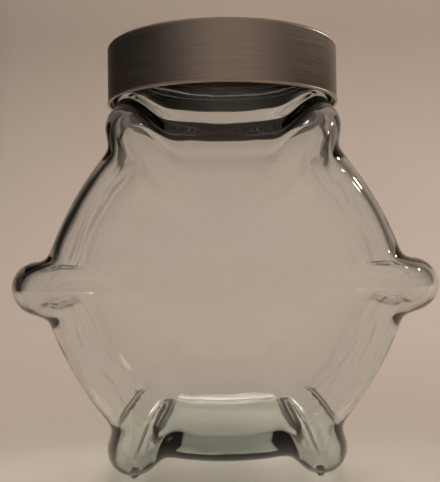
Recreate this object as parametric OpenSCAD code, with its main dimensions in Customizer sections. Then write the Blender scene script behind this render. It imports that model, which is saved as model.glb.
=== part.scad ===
// Coin bank jar: a glass hexagon with six hollow ribs, closed by a screw lid with a coin slot.
// Millimetres. The jar stands on two foot ridges at z = 0 with its mouth up (+Z),
// and its two flat faces look along -Y (front) and +Y (back).

/* [Glass body] */
// Distance from the middle of the hexagon to a side, at the side's ends
side_apothem = 59.6; // [58:0.2:62]
// How far the middle of each side bulges out past its ends
side_bulge = 4.8; // [3:0.1:6]
// Distance from the middle of the jar to a flat face
face_depth = 47.5; // [46:0.5:50]
// Radius that turns each side into the faces
shoulder_r = 23; // [20:0.5:24]
// Thickness of the glass
wall = 2.8; // [2.5:0.1:3.2]
// How much thicker the glass is at the bottom side
base_extra = 4; // [0:0.5:4.5]

/* [Ribs] */
// Radius of a rib's rounded back
rib_r = 10; // [9:0.1:10.5]
// Distance from the middle of the hexagon to a rib's centre line
rib_reach = 71; // [70:0.5:73]
// The same distance for the two upper ribs, which sit closer in under the lid
upper_rib_reach = 69.5; // [68:0.5:70]
// Radius on which a rib's centre line bends from the rim onto a face
rib_bend = 24; // [22:0.5:26]
// How far a rib stands proud of the flat faces
rib_proud = 2; // [1:0.1:2.5]
// Width of the soft fillet between a rib and the glass around it
rib_fillet = 4; // [3:0.5:6]
// How much thicker the glass is in the two lower ribs
lower_rib_extra = 1.2; // [0:0.1:1.5]

/* [Feet] */
// Height of the ridge under each lower rib
foot_height = 0.9; // [0.5:0.1:1.5]
// Width of the ridge's flat bottom
foot_width = 2; // [1:0.1:3]

/* [Neck] */
// Outer radius of the neck, between the threads
neck_r = 42.1; // [41.6:0.1:42.1]
// Radius of the mouth
mouth_r = 38.1; // [37.5:0.1:38.3]
// Rise of the thread in one turn
thread_pitch = 5; // [4.5:0.1:5.5]
// Height of the thread's crest above the neck
thread_depth = 1.6; // [1.2:0.1:1.6]
// Turns of thread on the glass
glass_turns = 1.25; // [1:0.25:1.5]
// Turns of thread in the lid
lid_turns = 1; // [0.75:0.25:1]

/* [Lid] */
// Outer radius of the lid's wall
lid_r = 46; // [46:0.1:47]
// Height of the lid
lid_height = 22.6; // [21:0.1:24]
// Thickness of the steel
steel = 0.5; // [0.4:0.05:0.6]
// Radius of the lid's top edge
lid_corner_r = 1.2; // [1:0.1:3]
// Radius of the rolled hem
hem_r = 0.6; // [0.5:0.1:1]
// Gap between the upper ribs and the hem
hem_gap = 1.2; // [1:0.1:3]
// Length of the coin slot
slot_length = 38; // [34:1:42]
// Width of the coin slot
slot_width = 4.6; // [4.4:0.1:6]

/* [Insert and seal] */
// Thickness of the insert's top plate
insert_top = 1.2; // [1:0.1:1.5]
// Thickness of the insert's skirt
insert_skirt = 1.4; // [1.2:0.1:1.4]
// How far the insert's plug reaches down inside the mouth
plug_drop = 6; // [2:0.5:8]
// Thickness of the sealing ring
seal_thickness = 1.4; // [1:0.1:2]

/* [Hidden] */
fine = 96;

// Heights of the body, from the feet up
middle_z = rib_reach * sin(60) + rib_r + foot_height;
upper_rib_top = middle_z + upper_rib_reach * sin(60) + rib_r;
hem_z = upper_rib_top + hem_gap;
lid_top = hem_z + lid_height;
insert_ceiling = lid_top - steel - insert_top;
slip = 0.05;
seal_z = insert_ceiling - slip - seal_thickness;
rim_z = seal_z;

// Each side is an arc through its bulge and its two ends
side_half = side_apothem * tan(30);
bulge_r = (side_half * side_half + side_bulge * side_bulge) / (2 * side_bulge);
bulge_offset = bulge_r - side_apothem - side_bulge;

// A rib's centre line runs straight across the rim, then bends onto each face
rib_straight = face_depth + rib_proud - rib_r - rib_bend;

// How finely the glass skin is divided
steps_beside_rib = 8;
rings = 21;
halvings = 18;

// Lid clearances
shell_gap = 0.1;
rim_round = 1.2;
neck_foot = 53;
mouth_foot = 50;
first_thread_drop = 3;
thread_steps = 36;
run_out_steps = 4;

// ---------------------------------------------------------------- glass skin

// The smaller of two distances, rounded where they are within k of each other
function soft_min(a, b, k) =
    let (h = max(k - abs(a - b), 0) / k) min(a, b) - h * h * k / 4;

// Distance outside the bulged hexagon, seen from the front, with its bottom side raised by thicker
function side_distance(x, z, thicker) =
    max([for (i = [0:5])
        norm([x + bulge_offset * cos(30 + 60 * i), z + bulge_offset * sin(30 + 60 * i)])
        + (i == 4 ? thicker : 0)])
    - bulge_r;

// Distance outside the body without its ribs, at a depth of inset inside its surface
function body_distance(p, inset) =
    let (r = shoulder_r - inset,
         across = side_distance(p.x, p.z, base_extra * inset / wall) + inset + r,
         deep = abs(p.y) - face_depth + inset + r)
    min(max(across, deep), 0) + norm([max(across, 0), max(deep, 0)]) - r;

// Distance from a rib's bent centre line to a point: out along the rib, and deep along Y
function rib_line_distance(out, deep, reach) =
    let (u = out - reach + rib_bend, v = deep - rib_straight)
    v < 0 ? abs(u - rib_bend)
    : u > 0 ? abs(norm([u, v]) - rib_bend)
    : norm([u, v - rib_bend]);

// Distance outside the rib nearest to a point
function rib_distance(p, inset) =
    let (i = round(atan2(p.z, p.x) / 60),
         reach = (i == 1 || i == 2) ? upper_rib_reach : rib_reach,
         thicker = (i == -1 || i == -2) ? lower_rib_extra * inset / wall : 0,
         out = p.x * cos(60 * i) + p.z * sin(60 * i),
         aside = p.z * cos(60 * i) - p.x * sin(60 * i))
    norm([rib_line_distance(out, abs(p.y), reach - thicker), aside]) - rib_r + inset + thicker;

// Distance outside the ribbed glass; its fillets widen with depth, so that the wall stays even
function glass_distance(p, inset) =
    soft_min(body_distance(p, inset), rib_distance(p, inset), rib_fillet + 1.2 * inset);

// Where a ray from the middle of the body leaves the glass, found by halving
function ray_length(ray, inset, near = 20, far = 100, left = halvings) =
    let (half = (near + far) / 2)
    left == 0 ? half
    : glass_distance(ray * half, inset) < 0 ? ray_length(ray, inset, half, far, left - 1)
    : ray_length(ray, inset, near, half, left - 1);

// Directions of the rays: closer together beside each rib, and even from the back to the front
function turn_angle(j) =
    let (u = (j % (2 * steps_beside_rib)) / steps_beside_rib - 1)
    60 * floor(j / (2 * steps_beside_rib)) + 30 * sign(u) * pow(abs(u), 1.5);
function ring_angle(i) = 90 - 180 * (i + 1) / (rings + 1);

// The closed skin of the body at a depth of inset inside its surface, about its own middle
module glass_skin(inset) {
    columns = 12 * steps_beside_rib;
    points = concat(
        [[0, ray_length([0, 1, 0], inset), 0], [0, -ray_length([0, -1, 0], inset), 0]],
        [for (i = [0:rings - 1]) for (j = [0:columns - 1])
            let (tilt = ring_angle(i), turn = turn_angle(j),
                 ray = [cos(tilt) * cos(turn), sin(tilt), cos(tilt) * sin(turn)])
            ray * ray_length(ray, inset)]);
    function at(i, j) = 2 + i * columns + (j % columns);
    faces = concat(
        [for (j = [0:columns - 1]) [0, at(0, j), at(0, j + 1)]],
        [for (i = [0:rings - 2]) for (j = [0:columns - 1]) each
            [[at(i, j), at(i + 1, j), at(i + 1, j + 1)], [at(i, j), at(i + 1, j + 1), at(i, j + 1)]]],
        [for (j = [0:columns - 1]) [1, at(rings - 1, j + 1), at(rings - 1, j)]]);
    polyhedron(points, faces, convexity = 6);
}

// --------------------------------------------------------------------- thread

// A ridge that climbs one pitch a turn from height z, between two radii, and dies away at both ends
module thread_ridge(root_r, crest_r, root_half, crest_half, z, from_angle, turns) {
    steps = round(turns * thread_steps);
    points = [for (k = [0:steps])
        let (angle = from_angle + 360 * k / thread_steps,
             h = z + thread_pitch * angle / 360,
             fade = min(1, 0.3 + 0.7 * min(k, steps - k) / run_out_steps),
             tip = root_r + (crest_r - root_r) * fade)
        each [for (q = [[root_r, -root_half], [tip, -crest_half], [tip, crest_half], [root_r, root_half]])
            [q.x * cos(angle), q.x * sin(angle), h + q.y]]];
    outward = crest_r > root_r;
    sides = [for (k = [0:steps - 1]) for (q = [0:3])
        let (a = 4 * k + q, b = 4 * k + (q + 1) % 4)
        each outward ? [[a, b, b + 4], [a, b + 4, a + 4]] : [[b, a, a + 4], [b, a + 4, b + 4]]];
    last = 4 * steps;
    ends = outward
        ? [[3, 2, 1, 0], [last, last + 1, last + 2, last + 3]]
        : [[0, 1, 2, 3], [last + 3, last + 2, last + 1, last]];
    polyhedron(points, concat(sides, ends), convexity = 10);
}

// ------------------------------------------------------------------ sub-parts

// The neck's wall, as a ring with a rounded rim
module neck_ring() {
    rotate_extrude($fn = fine) {
        translate([mouth_r, middle_z + neck_foot])
            square([neck_r - mouth_r, rim_z - rim_round - middle_z - neck_foot]);
        translate([mouth_r + rim_round, rim_z - 2 * rim_round])
            square([neck_r - mouth_r - 2 * rim_round, 2 * rim_round]);
        for (r = [mouth_r + rim_round, neck_r - rim_round])
            translate([r, rim_z - rim_round]) circle(r = rim_round, $fn = fine);
    }
}

// The ridge that a lower rib stands on
module foot(side) {
    rise = 2 * foot_height;
    translate([side * rib_reach / 2, rib_straight, 0])
        rotate([90, 0, 0])
            linear_extrude(2 * rib_straight)
                polygon([[-foot_width / 2, 0], [foot_width / 2, 0],
                         [foot_width / 2 + rise / 3, rise], [-foot_width / 2 - rise / 3, rise]]);
}

module glass_jar() {
    color([0.66, 0.74, 0.70, 0.4])
        difference() {
            union() {
                translate([0, 0, middle_z]) glass_skin(0);
                neck_ring();
                thread_ridge(neck_r - 0.5, neck_r + thread_depth, 1.5, 0.5,
                             rim_z - first_thread_drop - glass_turns * thread_pitch, 0, glass_turns);
                foot(-1);
                foot(1);
            }
            translate([0, 0, middle_z]) glass_skin(wall);
            translate([0, 0, middle_z + mouth_foot])
                cylinder(r = mouth_r, h = rim_z - rim_round - middle_z - mouth_foot, $fn = fine);
        }
}

// A coin slot cut down through z = 0, with round ends
module coin_slot(length, width) {
    cutter = 4 * insert_top;
    translate([0, 0, -cutter / 2]) linear_extrude(cutter) {
        square([length - width, width], center = true);
        for (side = [-1, 1]) translate([side * (length - width) / 2, 0]) circle(d = width, $fn = fine);
    }
}

// A cap's outline from its axis out: a top plate that rounds down into a wall
module cap_outline(r, top, bottom, corner) {
    translate([0, bottom]) square([r, top - bottom - corner]);
    translate([0, bottom]) square([r - corner, top - bottom]);
    translate([r - corner, top - corner]) circle(r = corner, $fn = fine);
}

module lid_shell() {
    color([0.42, 0.38, 0.34])
        difference() {
            rotate_extrude($fn = fine) {
                difference() {
                    cap_outline(lid_r, lid_top, hem_z + hem_r, lid_corner_r);
                    translate([0, -1])
                        cap_outline(lid_r - steel, lid_top - steel + 1, hem_z + hem_r, lid_corner_r - steel);
                }
                translate([lid_r - hem_r / 2, hem_z + hem_r]) circle(r = hem_r, $fn = fine);
            }
            translate([0, 0, lid_top]) coin_slot(slot_length, slot_width);
        }
}

module thread_insert() {
    outer_r = lid_r - steel - shell_gap;
    inner_r = outer_r - insert_skirt;
    top = lid_top - steel;
    bottom = hem_z + 2 * hem_r + shell_gap;
    plug_r = mouth_r - 1;
    color([0.13, 0.12, 0.11]) {
        difference() {
            union() {
                difference() {
                    rotate_extrude($fn = fine) cap_outline(outer_r, top, bottom, lid_corner_r - steel);
                    translate([0, 0, bottom - 1])
                        cylinder(r = inner_r, h = insert_ceiling - bottom + 1, $fn = fine);
                }
                difference() {
                    translate([0, 0, insert_ceiling - plug_drop])
                        cylinder(r = plug_r, h = plug_drop + 0.5, $fn = fine);
                    translate([0, 0, insert_ceiling - plug_drop - 1])
                        cylinder(r = plug_r - insert_skirt, h = plug_drop + 1, $fn = fine);
                }
                thread_ridge(inner_r + 0.5, inner_r - 1.3, 1.4, 0.5,
                             rim_z - first_thread_drop - (glass_turns + 0.5) * thread_pitch, -90, lid_turns);
            }
            translate([0, 0, top]) coin_slot(slot_length + 2, slot_width + 1.4);
        }
    }
}

module seal_ring() {
    inner_r = mouth_r - 0.6;
    outer_r = lid_r - steel - shell_gap - insert_skirt - 0.6;
    color([0.20, 0.20, 0.20])
        difference() {
            translate([0, 0, seal_z]) cylinder(r = outer_r, h = seal_thickness, $fn = fine);
            translate([0, 0, seal_z - 1]) cylinder(r = inner_r, h = seal_thickness + 2, $fn = fine);
        }
}

glass_jar();
lid_shell();
thread_insert();
seal_ring();
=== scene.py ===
# Looks of the coin bank jar: a clear glass hexagon with six hollow ribs and a brushed steel screw lid.
import math

import bpy
import numpy as np
from mathutils import Matrix, Vector


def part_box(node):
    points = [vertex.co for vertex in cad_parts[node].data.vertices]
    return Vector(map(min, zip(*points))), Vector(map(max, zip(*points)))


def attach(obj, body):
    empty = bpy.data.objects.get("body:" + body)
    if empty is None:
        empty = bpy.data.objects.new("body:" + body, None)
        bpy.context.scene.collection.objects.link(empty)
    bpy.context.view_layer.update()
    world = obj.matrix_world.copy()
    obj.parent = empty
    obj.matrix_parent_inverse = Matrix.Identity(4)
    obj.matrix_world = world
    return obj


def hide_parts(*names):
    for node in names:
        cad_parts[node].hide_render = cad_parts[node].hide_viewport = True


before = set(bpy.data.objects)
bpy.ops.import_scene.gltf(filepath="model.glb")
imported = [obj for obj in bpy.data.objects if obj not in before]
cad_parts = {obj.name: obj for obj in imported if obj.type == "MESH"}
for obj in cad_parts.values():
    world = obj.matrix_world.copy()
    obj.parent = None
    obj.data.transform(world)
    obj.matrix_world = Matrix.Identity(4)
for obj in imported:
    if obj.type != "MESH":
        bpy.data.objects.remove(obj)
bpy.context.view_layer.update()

MM = 0.001
jar_low, jar_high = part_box("glass_jar")
lid_low, lid_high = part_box("lid_shell")

# ------------------------------------------------------------------ dimensions, in millimetres

RIM_Z = jar_high.z / MM
LID_TOP = lid_high.z / MM
HEM_Z = lid_low.z / MM

# the jar's body, about the middle of its hexagon
SIDE_APOTHEM, SIDE_BULGE = 59.6, 4.8
FACE_DEPTH, SHOULDER_R = 47.5, 23.0
WALL, BASE_EXTRA, LOWER_RIB_EXTRA = 2.8, 4.0, 1.2

# its six ribs: straight across the rim and bent onto the faces, with fillets that widen inside the glass
RIB_R, RIB_REACH, UPPER_RIB_REACH = 10.0, 71.0, 69.5
RIB_BEND, RIB_PROUD = 24.0, 2.0
RIB_STRAIGHT = FACE_DEPTH + RIB_PROUD - RIB_R - RIB_BEND
RIB_FILLET, FILLET_WIDENING = 5.5, 1.7

# the foot ridges under the two lower ribs
FOOT_HEIGHT, FOOT_WIDTH, FOOT_TAPER, FOOT_FILLET = 0.9, 2.0, 6.0, 0.4
FOOT_WRAP, FOOT_FADE = 16.0, 7.0
SLANT = math.sin(math.radians(60))
MIDDLE_Z = RIB_REACH * SLANT + RIB_R + FOOT_HEIGHT

# its neck and thread
NECK_R, MOUTH_R, RIM_ROUND, RIM_FILLET = 42.1, 38.1, 1.2, 1.6
NECK_FILLET, MOUTH_FILLET = 8.5, 5.0
PITCH, THREAD_TURNS, THREAD_DROP = 5.0, 1.25, 3.0
THREAD_R, THREAD_PROUD, THREAD_FADE, THREAD_FILLET = 1.5, 0.1, 0.08, 0.8

# the lid
LID_R, STEEL, CORNER_R, HEM_R = 46.0, 0.5, 1.2, 0.6
SLOT_LENGTH, SLOT_WIDTH, SLOT_LIP = 38.0, 4.6, 1.6

GRID = 0.9


# ------------------------------------------------------------------ the glass, as distances

def soft_min(a, b, k):
    """The smaller of two distances, rounded where they are within k of each other."""
    h = np.maximum(k - np.abs(a - b), 0) / k
    return np.minimum(a, b) - h * h * h * k / 6


def soft_max(a, b, k):
    return -soft_min(-a, -b, k)


def round_corner(across, deep, r):
    """Distance to a corner between two faces, rounded at r."""
    a, b = across + r, deep + r
    return np.minimum(np.maximum(a, b), 0) + np.hypot(np.maximum(a, 0), np.maximum(b, 0)) - r


def side_distance(x, z, thicker):
    """Distance outside the hexagon's six bulged sides, with the bottom side raised by thicker."""
    half = SIDE_APOTHEM * math.tan(math.radians(30))
    bulge_r = (half * half + SIDE_BULGE * SIDE_BULGE) / (2 * SIDE_BULGE)
    offset = bulge_r - SIDE_APOTHEM - SIDE_BULGE
    far = None
    for i in range(6):
        a = math.radians(30 + 60 * i)
        d = np.hypot(x + offset * math.cos(a), z + offset * math.sin(a)) + (thicker if i == 4 else 0)
        far = d if far is None else np.maximum(far, d)
    return far - bulge_r


def rib_distance(x, y, z, inset):
    """Distance outside the nearest rib: straight across the rim, then bent onto each face."""
    i = np.round(np.arctan2(z, x) / math.radians(60))
    a = i * math.radians(60)
    reach = np.where((i == 1) | (i == 2), UPPER_RIB_REACH, RIB_REACH)
    thicker = np.where((i == -1) | (i == -2), LOWER_RIB_EXTRA * inset / WALL, 0)
    reach, inset = reach - thicker, inset + thicker
    out = x * np.cos(a) + z * np.sin(a)
    aside = z * np.cos(a) - x * np.sin(a)
    u, v = out - reach + RIB_BEND, np.abs(y) - RIB_STRAIGHT
    line = np.where(v < 0, np.abs(u - RIB_BEND),
                    np.where(u > 0, np.abs(np.hypot(u, v) - RIB_BEND), np.hypot(u, v - RIB_BEND)))
    return np.hypot(line, aside) - RIB_R + inset


def body_distance(x, y, z, inset):
    """Distance outside the ribbed body, at a depth of inset inside its surface."""
    side = side_distance(x, z, BASE_EXTRA * inset / WALL) + inset
    body = round_corner(side, np.abs(y) - FACE_DEPTH + inset, SHOULDER_R - inset)
    return soft_min(body, rib_distance(x, y, z, inset), RIB_FILLET + FILLET_WIDENING * inset)


def foot_distance(x, y, height):
    """Distance outside the foot ridges, which follow their ribs round onto the faces and fade there."""
    past = np.clip(np.abs(y) - RIB_STRAIGHT, 0, RIB_BEND)
    bend = RIB_BEND + (RIB_R + FOOT_HEIGHT) * SLANT
    rise = bend - np.sqrt(bend * bend - past * past)
    fade = np.clip((past - FOOT_WRAP + FOOT_FADE) / FOOT_FADE, 0, 1) ** 2
    up = height - rise * SLANT - FOOT_HEIGHT * fade
    aside = np.abs(np.abs(x) - (RIB_REACH - rise) / 2) - FOOT_WIDTH / 2 - up / FOOT_TAPER
    return np.maximum(np.maximum(aside, -up), np.maximum(past - FOOT_WRAP, up - 4 * FOOT_HEIGHT))


def thread_distance(r, angle, z):
    """Distance outside the thread's rounded ridge, which thins away at both ends."""
    start = RIM_Z - THREAD_DROP - THREAD_TURNS * PITCH
    best = None
    for turn in (0, 1):
        along = angle / (2 * math.pi) + turn
        held = np.clip(along, 0, THREAD_TURNS)
        fade = np.clip(np.minimum(held, THREAD_TURNS - held) / THREAD_FADE, 0, 1)
        past = np.abs(along - held) * 2 * math.pi * NECK_R
        ridge = THREAD_R * np.sqrt(fade * (2 - fade))
        d = np.sqrt((r - NECK_R - THREAD_PROUD) ** 2 + (z - start - held * PITCH) ** 2 + past ** 2) - ridge
        best = d if best is None else np.minimum(best, d)
    return best


def glass_distance(p):
    """Distance outside the glass at each row of p, in millimetres, with z from the feet."""
    x, y, height = p[:, 0], p[:, 1], p[:, 2]
    z = height - MIDDLE_Z
    r = np.hypot(x, y)
    angle = np.arctan2(y, x) % (2 * math.pi)
    neck = np.maximum(round_corner(r - NECK_R, height - RIM_Z, RIM_ROUND), MIDDLE_Z - height)
    neck = soft_min(neck, thread_distance(r, angle, height), THREAD_FILLET)
    outer = soft_min(body_distance(x, y, z, 0.0), neck, NECK_FILLET)
    outer = soft_min(outer, foot_distance(x, y, height), FOOT_FILLET)
    mouth = np.maximum(r - MOUTH_R, MIDDLE_Z - height)
    hollow = soft_min(body_distance(x, y, z, WALL), mouth, MOUTH_FILLET)
    return soft_max(outer, -hollow, RIM_FILLET)


# ------------------------------------------------------------------ meshing a distance

def field_values(distance, low, shape, step):
    """The distance on a grid, worked out only in the blocks that the surface may cross."""
    block = 8
    coarse = [int(math.ceil(n / block)) for n in shape]
    centres = [low[a] + (np.arange(coarse[a]) + 0.5) * block * step for a in range(3)]
    grid = np.stack(np.meshgrid(*centres, indexing="ij"), -1).reshape(-1, 3)
    rough = distance(grid).reshape(coarse)
    near = np.abs(rough) < block * step * 1.25
    values = rough
    for a in range(3):
        values = np.repeat(values, block, axis=a)
        near = np.repeat(near, block, axis=a)
    values = values[:shape[0], :shape[1], :shape[2]].copy()
    near = near[:shape[0], :shape[1], :shape[2]]
    where = np.argwhere(near)
    values[near] = distance(where * step + np.asarray(low))
    return values


def surface_net(values, low, step):
    """Vertices and quads of the surface where values change sign: one vertex in each cell it crosses."""
    inside = values < 0
    corners = [(i, j, k) for i in (0, 1) for j in (0, 1) for k in (0, 1)]
    n = [s - 1 for s in values.shape]

    def corner(a, c):
        return a[c[0]:c[0] + n[0], c[1]:c[1] + n[1], c[2]:c[2] + n[2]]

    count = sum(corner(inside, c).astype(np.int8) for c in corners)
    crossed = (count > 0) & (count < 8)
    cells = np.argwhere(crossed)
    index = np.full(n, -1)
    index[crossed] = np.arange(len(cells))
    at = [corner(values, c)[crossed] for c in corners]
    total, hits = np.zeros((len(cells), 3)), np.zeros(len(cells))
    for a in range(8):
        for b in range(a + 1, 8):
            if sum(p != q for p, q in zip(corners[a], corners[b])) != 1:
                continue
            cut = (at[a] < 0) != (at[b] < 0)
            t = np.where(cut, at[a] / np.where(cut, at[a] - at[b], 1), 0)
            point = np.array(corners[a]) + t[:, None] * (np.array(corners[b]) - np.array(corners[a]))
            total += point * cut[:, None]
            hits += cut
    vertices = (cells + total / hits[:, None]) * step + np.asarray(low)
    quads = []
    for axis in range(3):
        u, v = (axis + 1) % 3, (axis + 2) % 3
        ahead, behind = [slice(None)] * 3, [slice(None)] * 3
        ahead[axis], behind[axis] = slice(1, None), slice(None, -1)
        change = inside[tuple(ahead)] != inside[tuple(behind)]
        rim = [slice(None)] * 3
        rim[u], rim[v] = slice(1, -1), slice(1, -1)
        found = np.argwhere(change[tuple(rim)])
        found[:, u] += 1
        found[:, v] += 1
        around = []
        for du, dv in ((-1, -1), (0, -1), (0, 0), (-1, 0)):
            cell = found.copy()
            cell[:, u] += du
            cell[:, v] += dv
            around.append(index[cell[:, 0], cell[:, 1], cell[:, 2]])
        quad = np.stack(around, 1)
        flip = ~inside[found[:, 0], found[:, 1], found[:, 2]]
        quad[flip] = quad[flip][:, ::-1]
        quads.append(quad)
    return vertices, np.concatenate(quads)


def gradient(distance, p, h=0.02):
    """The slope of the distance at each row of p."""
    return np.stack([(distance(p + h * e) - distance(p - h * e)) / (2 * h) for e in np.eye(3)], 1)


def settle(distance, p, rounds=3):
    """Moves each row of p onto the surface, and returns it with the surface's normal there."""
    for _ in range(rounds):
        slope = gradient(distance, p)
        p = p - slope * (distance(p) / np.maximum((slope ** 2).sum(1), 1e-6))[:, None]
    slope = gradient(distance, p)
    return p, slope / np.linalg.norm(slope, axis=1)[:, None]


def new_object(name, vertices, faces):
    mesh = bpy.data.meshes.new(name)
    mesh.from_pydata([tuple(v) for v in vertices], [], [tuple(int(i) for i in f) for f in faces])
    mesh.validate()
    mesh.polygons.foreach_set("use_smooth", [True] * len(mesh.polygons))
    piece = bpy.data.objects.new(name, mesh)
    bpy.context.scene.collection.objects.link(piece)
    return piece


def make_glass():
    margin = 3 * GRID
    low = np.array([c / MM for c in jar_low]) - margin
    high = np.array([c / MM for c in jar_high]) + margin
    shape = [int(math.ceil(s)) + 1 for s in (high - low) / GRID]
    values = field_values(glass_distance, low, shape, GRID)
    vertices, quads = surface_net(values, low, GRID)
    vertices, normals = settle(glass_distance, vertices)
    piece = new_object("jar_glass", vertices * MM, quads)
    piece.data.normals_split_custom_set_from_vertices([tuple(n) for n in normals])
    return piece


# ------------------------------------------------------------------ turned pieces

def arc(cx, cz, r, start, end, steps):
    """Points of an arc, as radius and height, from one angle to another in degrees."""
    return [(cx + r * math.cos(math.radians(start + (end - start) * i / steps)),
             cz + r * math.sin(math.radians(start + (end - start) * i / steps))) for i in range(steps + 1)]


def round_loop(r, z, count):
    return [(r * math.cos(2 * math.pi * i / count), r * math.sin(2 * math.pi * i / count), z)
            for i in range(count)]


def slot_loop(length, width, z, count):
    """A loop round a slot with round ends, met by rays from the middle at even angles."""
    reach, r = (length - width) / 2, width / 2
    loop = []
    for i in range(count):
        t = 4 * i / count
        side = int(t)
        f = t - side
        straight = reach / (reach + r * math.pi / 4)
        # each quarter: half the straight side and half an end
        if side in (0, 2):
            if f > 1 - straight:
                x, y = reach * (1 - (f - (1 - straight)) / straight), r
            else:
                a = math.pi / 2 * f / (1 - straight)
                x, y = reach + r * math.cos(a), r * math.sin(a)
        else:
            if f < straight:
                x, y = -reach * f / straight, r
            else:
                a = math.pi / 2 * (f - straight) / (1 - straight)
                x, y = -reach - r * math.sin(a), r * math.cos(a)
        if side >= 2:
            x, y = -x, -y
        loop.append((x, y, z))
    return loop


def between(a, b, t):
    return [tuple(p + (q - p) * t for p, q in zip(u, v)) for u, v in zip(a, b)]


def skin(name, loops):
    """A closed surface through a ring of loops."""
    count = len(loops[0])
    vertices = [p for loop in loops for p in loop]
    faces = []
    for i in range(len(loops)):
        a, b = i * count, ((i + 1) % len(loops)) * count
        for j in range(count):
            k = (j + 1) % count
            faces.append((a + j, b + j, b + k, a + k))
    piece = new_object(name, [(x * MM, y * MM, z * MM) for x, y, z in vertices], faces)
    piece.data.set_sharp_from_angle(angle=math.radians(50))
    return piece


def make_lid():
    """The steel shell as one skin, from the slot's lip over the top, down the wall and back up its inside."""
    count = 256
    lip, plate_r, fold = 0.5, 26.0, 0.1
    hem_x, hem_z = LID_R - HEM_R / 2, HEM_Z + HEM_R
    wall_foot = hem_z + HEM_R * SLANT + 0.5
    wall_head = LID_TOP - CORNER_R
    inner, under = LID_R - STEEL, LID_TOP - STEEL

    # up the slot's lip, rounded at its top
    loops = [slot_loop(SLOT_LENGTH, SLOT_WIDTH, LID_TOP - SLOT_LIP, count)]
    for i in range(7):
        a = math.pi / 2 * i / 6
        grow = 2 * lip * (1 - math.cos(a))
        z = LID_TOP - lip + lip * math.sin(a)
        loops.append(slot_loop(SLOT_LENGTH + grow, SLOT_WIDTH + grow, z, count))

    # out over the top, from the slot's shape to circles
    edge, top_ring = loops[-1], round_loop(plate_r, LID_TOP, count)
    loops += [between(edge, top_ring, t) for t in (0.02, 0.1, 0.3, 0.6, 0.85)]
    loops += [round_loop(r, LID_TOP, count) for r in (plate_r, 32, 38, LID_R - CORNER_R - 0.4)]

    # round the corner, down the wall and round the rolled hem
    loops += [round_loop(r, z, count)
              for r, z in arc(LID_R - CORNER_R, LID_TOP - CORNER_R, CORNER_R, 90, 0, 12)]
    loops += [round_loop(LID_R, wall_head + (wall_foot - wall_head) * t, count)
              for t in (0.02, 0.25, 0.5, 0.75, 0.98)]
    loops += [round_loop(r, z, count) for r, z in arc(hem_x, hem_z, HEM_R, 62, -200, 26)]

    # up the inside, in under the top and down round the slot
    loops += [round_loop(inner, z, count) for z in (hem_z + HEM_R + 0.2, wall_head - 0.2)]
    loops += [round_loop(r, z, count)
              for r, z in arc(LID_R - CORNER_R, LID_TOP - CORNER_R, CORNER_R - STEEL, 0, 90, 8)]
    under_ring = round_loop(plate_r, under, count)
    flange = slot_loop(SLOT_LENGTH + 2 * lip, SLOT_WIDTH + 2 * lip, under - fold, count)
    loops += [under_ring, between(under_ring, flange, 0.9), flange]
    loops.append(slot_loop(SLOT_LENGTH + 2 * lip, SLOT_WIDTH + 2 * lip, LID_TOP - SLOT_LIP, count))
    return skin("lid_skin", loops)


# ------------------------------------------------------------------ materials

def material(name):
    m = bpy.data.materials.new(name)
    m.use_nodes = True
    tree = m.node_tree
    return m, tree, tree.nodes["Principled BSDF"], tree.nodes["Material Output"]


def add(tree, kind, **inputs):
    node = tree.nodes.new(kind)
    for key, value in inputs.items():
        node.inputs[key.replace("_", " ")].default_value = value
    return node


def maths(tree, operation, a, b=None):
    node = tree.nodes.new("ShaderNodeMath")
    node.operation = operation
    for i, value in enumerate((a, b)):
        if value is None:
            continue
        if isinstance(value, (int, float)):
            node.inputs[i].default_value = value
        else:
            tree.links.new(value, node.inputs[i])
    return node.outputs[0]


def ramp(tree, source, stops):
    node = tree.nodes.new("ShaderNodeValToRGB")
    elements = node.color_ramp.elements
    for i, (place, colour) in enumerate(stops):
        e = elements[i] if i < 2 else elements.new(place)
        e.position = place
        e.color = (*colour, 1)
    tree.links.new(source, node.inputs[0])
    return node.outputs[0]


def to_range(tree, source, low, high, start=0.0, end=1.0):
    node = tree.nodes.new("ShaderNodeMapRange")
    node.inputs["From Min"].default_value = start
    node.inputs["From Max"].default_value = end
    node.inputs["To Min"].default_value = low
    node.inputs["To Max"].default_value = high
    tree.links.new(source, node.inputs["Value"])
    return node.outputs[0]


def object_place(tree):
    """The x, y and z of each point in the piece's own space, in metres."""
    coords = tree.nodes.new("ShaderNodeTexCoord")
    split = tree.nodes.new("ShaderNodeSeparateXYZ")
    tree.links.new(coords.outputs["Object"], split.inputs[0])
    return split.outputs


def object_texture(tree, kind, **inputs):
    """A texture laid through the piece in its own space."""
    coords = tree.nodes.new("ShaderNodeTexCoord")
    texture = add(tree, kind, **inputs)
    tree.links.new(coords.outputs["Object"], texture.inputs["Vector"])
    return texture


def bump(tree, shader, height, strength, distance):
    node = add(tree, "ShaderNodeBump", Strength=strength, Distance=distance)
    tree.links.new(height, node.inputs["Height"])
    tree.links.new(node.outputs[0], shader.inputs["Normal"])


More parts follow.
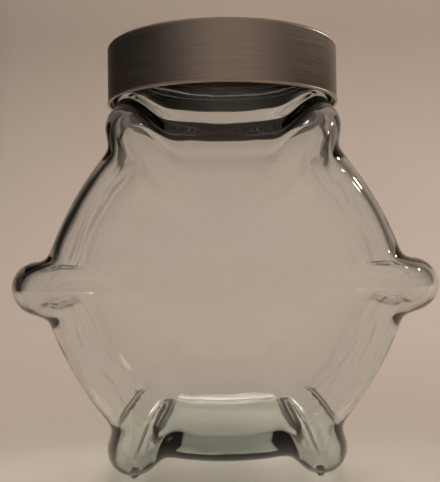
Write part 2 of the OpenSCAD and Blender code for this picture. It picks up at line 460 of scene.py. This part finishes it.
def glass_material():
    """Clear glass with a soft ripple and a green tint that deepens with its thickness."""
    m, tree, shader, out = material("clear_glass")
    shader.inputs["Base Color"].default_value = (1.0, 1.0, 1.0, 1)
    shader.inputs["Transmission Weight"].default_value = 1.0
    shader.inputs["Roughness"].default_value = 0.0
    shader.inputs["IOR"].default_value = 1.52
    ripple = object_texture(tree, "ShaderNodeTexNoise", Scale=34.0, Detail=2.0)
    bump(tree, shader, ripple.outputs[0], 0.25, 0.002)

    # light on its way to a lamp passes straight through
    lamp_path = tree.nodes.new("ShaderNodeLightPath")
    clear = tree.nodes.new("ShaderNodeBsdfTransparent")
    clear.inputs[0].default_value = (0.97, 0.96, 0.955, 1)
    mix = tree.nodes.new("ShaderNodeMixShader")
    tree.links.new(lamp_path.outputs["Is Shadow Ray"], mix.inputs[0])
    tree.links.new(shader.outputs[0], mix.inputs[1])
    tree.links.new(clear.outputs[0], mix.inputs[2])
    tree.links.new(mix.outputs[0], out.inputs["Surface"])
    absorb = tree.nodes.new("ShaderNodeVolumeAbsorption")
    absorb.inputs["Color"].default_value = (0.28, 0.51, 0.43, 1)
    absorb.inputs["Density"].default_value = 30.0
    tree.links.new(absorb.outputs[0], out.inputs["Volume"])
    return m


def steel_material():
    """Steel brushed in fine lines round the lid's axis."""
    m, tree, shader, _ = material("brushed_steel")
    shader.inputs["Metallic"].default_value = 1.0
    shader.inputs["Anisotropic"].default_value = 0.65
    x, y, z = object_place(tree)
    square = maths(tree, "ADD", maths(tree, "MULTIPLY", x, x), maths(tree, "MULTIPLY", y, y))
    radius = maths(tree, "SQRT", square)
    turn = maths(tree, "ARCTAN2", y, x)
    line = tree.nodes.new("ShaderNodeCombineXYZ")
    tree.links.new(maths(tree, "MULTIPLY", maths(tree, "COSINE", turn), 0.05), line.inputs[0])
    tree.links.new(maths(tree, "MULTIPLY", maths(tree, "SINE", turn), 0.05), line.inputs[1])
    tree.links.new(maths(tree, "ADD", z, radius), line.inputs[2])
    streak = add(tree, "ShaderNodeTexNoise", Scale=2200.0, Detail=3.0)
    stretch = tree.nodes.new("ShaderNodeMapping")
    stretch.inputs["Scale"].default_value = (0.02, 0.02, 1.0)
    tree.links.new(line.outputs[0], stretch.inputs[0])
    tree.links.new(stretch.outputs[0], streak.inputs["Vector"])
    tree.links.new(ramp(tree, streak.outputs[0], [(0.3, (0.43, 0.365, 0.315)), (0.7, (0.52, 0.45, 0.395))]),
                   shader.inputs["Base Color"])
    tree.links.new(to_range(tree, streak.outputs[0], 0.26, 0.42), shader.inputs["Roughness"])
    bump(tree, shader, streak.outputs[0], 0.08, 0.0002)
    tangent = tree.nodes.new("ShaderNodeTangent")
    tangent.direction_type = "RADIAL"
    tangent.axis = "Z"
    tree.links.new(tangent.outputs[0], shader.inputs["Tangent"])
    return m


def plastic_material():
    m, tree, shader, _ = material("black_plastic")
    grain = object_texture(tree, "ShaderNodeTexNoise", Scale=900.0, Detail=4.0)
    tree.links.new(ramp(tree, grain.outputs[0], [(0.3, (0.105, 0.085, 0.068)), (0.7, (0.150, 0.124, 0.100))]),
                   shader.inputs["Base Color"])
    tree.links.new(to_range(tree, grain.outputs[0], 0.34, 0.5), shader.inputs["Roughness"])
    bump(tree, shader, grain.outputs[0], 0.15, 0.0002)
    return m


def foam_material():
    m, tree, shader, _ = material("seal_foam")
    cells = object_texture(tree, "ShaderNodeTexVoronoi", Scale=1800.0)
    tones = [(0.0, (0.035, 0.035, 0.035)), (0.6, (0.06, 0.058, 0.055))]
    tree.links.new(ramp(tree, cells.outputs["Distance"], tones), shader.inputs["Base Color"])
    shader.inputs["Roughness"].default_value = 0.8
    bump(tree, shader, cells.outputs["Distance"], 0.4, 0.0002)
    return m


def stage_material():
    """Pale paper with painted shade well outside the jar, at the left behind it and at the far right, which
    the glass and the steel show as a dark room.
    """
    m, tree, shader, _ = material("stage_paper_painted_shade")
    cloud = object_texture(tree, "ShaderNodeTexNoise", Scale=3.0, Detail=3.0)
    paper = ramp(tree, cloud.outputs[0], [(0.3, (0.60, 0.52, 0.46)), (0.7, (0.63, 0.55, 0.49))])
    x, y, _ = object_place(tree)
    # painted shade: the paper's colour is darkened at the left behind the jar and at the far right, standing
    # in for a dark room
    left = to_range(tree, x, 0.95, 0.0, -0.9, -0.4)
    behind = to_range(tree, y, 0.0, 1.0, 0.0, 0.4)
    right = to_range(tree, x, 0.0, 0.6, 1.0, 1.8)
    dark = maths(tree, "MAXIMUM", maths(tree, "MULTIPLY", left, behind), right)
    painted_shade = ramp(tree, dark, [(0.0, (1, 1, 1)), (1.0, (0, 0, 0))])
    shade = tree.nodes.new("ShaderNodeVectorMath")
    shade.operation = "MULTIPLY"
    tree.links.new(paper, shade.inputs[0])
    tree.links.new(painted_shade, shade.inputs[1])
    tree.links.new(shade.outputs[0], shader.inputs["Base Color"])
    shader.inputs["Roughness"].default_value = 0.7
    return m


# ------------------------------------------------------------------ pieces

glass = make_glass()
glass.data.materials.append(glass_material())
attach(glass, "jar")
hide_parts("glass_jar")

lid = make_lid()
lid.data.materials.append(steel_material())
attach(lid, "lid")
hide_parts("lid_shell")

for node, finish in (("thread_insert", plastic_material()), ("seal_ring", foam_material())):
    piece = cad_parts[node]
    piece.data.materials.clear()
    piece.data.materials.append(finish)


# ------------------------------------------------------------------ stage, light and camera

def make_stage():
    """A pale floor that curves up into a backdrop well behind the jar."""
    half, back, bend, top, front = 3.0, 1.1, 0.5, 2.4, -2.5
    outline = [(front, 0.0), (0.0, 0.0), (back - bend, 0.0)]
    outline += [(back - bend + bend * math.sin(math.radians(a)), bend - bend * math.cos(math.radians(a)))
                for a in range(6, 91, 6)]
    outline.append((back, top))
    vertices = [(x, y, z) for y, z in outline for x in (-half, half)]
    faces = [(2 * i, 2 * i + 1, 2 * i + 3, 2 * i + 2) for i in range(len(outline) - 1)]
    stage = new_object("stage", vertices, faces)
    stage.data.materials.append(stage_material())


def area_light(name, place, target, size, power, colour, mirrored=True):
    """A flat lamp. One that isn't mirrored gives light but doesn't show in the glass and the steel."""
    data = bpy.data.lights.new(name, "AREA")
    data.shape = "RECTANGLE"
    data.size, data.size_y = size
    data.energy = power
    data.color = colour
    lamp = bpy.data.objects.new(name, data)
    bpy.context.scene.collection.objects.link(lamp)
    lamp.location = place
    lamp.rotation_euler = (Vector(target) - Vector(place)).to_track_quat("-Z", "Y").to_euler()
    lamp.visible_glossy = mirrored


def make_lights():
    """A small key from the right, behind the jar, and a broad wash over the backdrop."""
    middle = (0, 0, MIDDLE_Z * MM)
    warm = (1.0, 0.94, 0.87)
    area_light("key", (1.1, 0.55, 0.75), middle, (0.07, 0.07), 2.5, warm)
    area_light("wash", (0.05, 0.70, 1.9), (0.0, 0.70, 0), (1.0, 0.5), 19.0, warm, mirrored=False)


def make_world():
    """A plain room that is dark at the left and dimmer at the right, for the glass and the steel to show."""
    world = bpy.data.worlds.new("room")
    world.use_nodes = True
    tree = world.node_tree
    coords = tree.nodes.new("ShaderNodeTexCoord")
    split = tree.nodes.new("ShaderNodeSeparateXYZ")
    tree.links.new(coords.outputs["Generated"], split.inputs[0])
    x, _, z = split.outputs
    # how far a view turns to the right, less so where it points up or down
    level = maths(tree, "SUBTRACT", 1.0, maths(tree, "MULTIPLY", z, z))
    across = to_range(tree, maths(tree, "MULTIPLY", x, level), 0.0, 1.0, -1.0, 1.0)
    tree.links.new(ramp(tree, across, [(0.0, (0.010, 0.011, 0.010)), (0.11, (0.022, 0.022, 0.020)),
                                       (0.27, (0.20, 0.172, 0.151)), (0.42, (0.34, 0.29, 0.255)),
                                       (0.70, (0.34, 0.29, 0.255)), (0.85, (0.19, 0.162, 0.142)),
                                       (1.0, (0.040, 0.035, 0.030))]),
                   tree.nodes["Background"].inputs[0])
    bpy.context.scene.world = world


def make_camera():
    """The camera looks squarely at the front of the jar, a little above the middle of the hexagon."""
    aside, back, above, roll = -1.7, 287.4, 16.8, -0.75
    data = bpy.data.cameras.new("camera")
    camera = bpy.data.objects.new("camera", data)
    bpy.context.scene.collection.objects.link(camera)
    data.lens = 52.65
    data.sensor_width = 36.0
    data.clip_start, data.clip_end = 0.01, 20
    camera.location = (aside * MM, -back * MM, (MIDDLE_Z + above) * MM)
    camera.rotation_euler = (Matrix.Rotation(math.radians(90), 4, "X")
                             @ Matrix.Rotation(math.radians(roll), 4, "Z")).to_euler()
    bpy.context.scene.camera = camera


make_stage()
make_lights()
make_world()
make_camera()
bpy.context.scene.view_settings.view_transform = "Standard"
